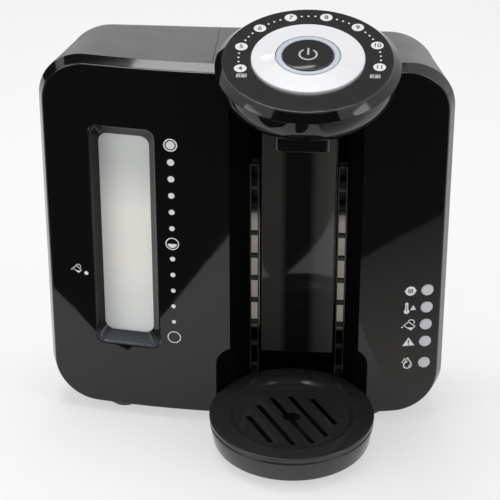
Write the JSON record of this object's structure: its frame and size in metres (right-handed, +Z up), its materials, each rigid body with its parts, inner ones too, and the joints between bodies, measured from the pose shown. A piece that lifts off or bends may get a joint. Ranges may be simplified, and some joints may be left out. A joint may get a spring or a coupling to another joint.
{
  "type": "baby formula maker",
  "caption": "Counter-top formula maker: bowed gloss front with a tank window, round control head over a bottle bay, drip tray hooked on ladder racks.",
  "frame": {"origin": "on the table, under the middle of the object's box", "axes": "+Z up, +X to the right as the front is looked at, +Y to the back; the front faces -Y"},
  "size_m": [0.3, 0.1798, 0.3189],
  "materials": {
    "gloss_black": "high-gloss black ABS",
    "satin_black": "satin dark grey plastic",
    "white_dial": "smooth white plastic",
    "frosted_lamp": "frosted light-guide plastic",
    "frosted_tank": "frosted see-through plastic",
    "black_rubber": "soft black rubber",
    "plain_steel": "plain steel",
    "circuit_board": "green circuit board"
  },
  "bodies": {
    "machine": {"base_plate": "satin_black", "base_screw_left": "plain_steel", "base_screw_right": "plain_steel", "base_screw_rear_left": "plain_steel", "base_screw_rear_right": "plain_steel", "bay_back_panel": "gloss_black", "bay_liner": "gloss_black", "boiler": "plain_steel", "boiler_hose": "black_rubber", "cold_nozzle": "plain_steel", "control_board": "circuit_board", "feed_hose": "black_rubber", "foot_front_left": "black_rubber", "foot_front_right": "black_rubber", "foot_rear_left": "black_rubber", "foot_rear_right": "black_rubber", "front_panel_left": "gloss_black", "front_panel_right": "gloss_black", "head_bowl": "gloss_black", "head_number_cover": "gloss_black", "hot_nozzle": "plain_steel", "inlet_gland": "black_rubber", "lamp_board": "circuit_board", "lamp_descale": "frosted_lamp", "lamp_temperature": "frosted_lamp", "light_ring": "frosted_lamp", "outlet_hose": "black_rubber", "outlet_housing": "gloss_black", "power_board": "circuit_board", "pump": "satin_black", "rack_left": "satin_black", "rack_right": "satin_black", "rear_casing": "satin_black", "socket_seal": "black_rubber", "start_switch": "satin_black", "tank_cradle": "satin_black", "tank_partition": "satin_black", "tank_socket": "satin_black", "window_bezel": "gloss_black"},
    "dial": {"volume_dial": "white_dial"},
    "start": {"start_button": "gloss_black"},
    "filter_key": {"key_filter": "frosted_lamp"},
    "amount_key": {"key_amount": "frosted_lamp"},
    "rinse_key": {"key_rinse": "frosted_lamp"},
    "tank": {"water_tank": "frosted_tank", "filter_cartridge": "satin_black", "valve_spring": "plain_steel"},
    "lid": {"tank_lid": "satin_black"},
    "valve": {"valve_plunger": "black_rubber"},
    "tray": {"tray_base": "satin_black"},
    "grille": {"tray_grille": "gloss_black"}
  },
  "joints": [
    {"name": "dial_turn", "type": "hinge", "parent": "machine", "child": "dial", "pos_m": [0.0454, -0.00445, 0.3056], "axis": [0, -0.2233, 0.9748], "range_deg": [-205, 0]},
    {"name": "start_press", "type": "slide", "parent": "machine", "child": "start", "axis": [0, 0.2233, -0.9748], "range_m": [0, 0.0015], "stiffness_N_per_m": 900, "springref_m": -0.001},
    {"name": "filter_press", "type": "slide", "parent": "machine", "child": "filter_key", "axis": [-0.2214, 0.9752, 0], "range_m": [0, 0.0008], "stiffness_N_per_m": 900, "springref_m": -0.0006},
    {"name": "amount_press", "type": "slide", "parent": "machine", "child": "amount_key", "axis": [-0.2214, 0.9752, 0], "range_m": [0, 0.0008], "stiffness_N_per_m": 900, "springref_m": -0.0006},
    {"name": "rinse_press", "type": "slide", "parent": "machine", "child": "rinse_key", "axis": [-0.2214, 0.9752, 0], "range_m": [0, 0.0008], "stiffness_N_per_m": 900, "springref_m": -0.0006},
    {"name": "tank_lift", "type": "slide", "parent": "machine", "child": "tank", "axis": [0, 0, 1], "range_m": [0, 0.29]},
    {"name": "lid_lift", "type": "slide", "parent": "tank", "child": "lid", "axis": [0, 0, 1], "range_m": [0, 0.06]},
    {"name": "valve_rise", "type": "slide", "parent": "tank", "child": "valve", "axis": [0, 0, 1], "range_m": [0, 0.0015], "stiffness_N_per_m": 150, "springref_m": -0.002, "deforming": ["valve_spring"]},
    {"name": "tray_pull", "type": "slide", "parent": "machine", "child": "tray", "axis": [0, -1, 0], "range_m": [0, 0.09]},
    {"name": "grille_lift", "type": "slide", "parent": "tray", "child": "grille", "axis": [0, 0, 1], "range_m": [0, 0.03]}
  ]
}
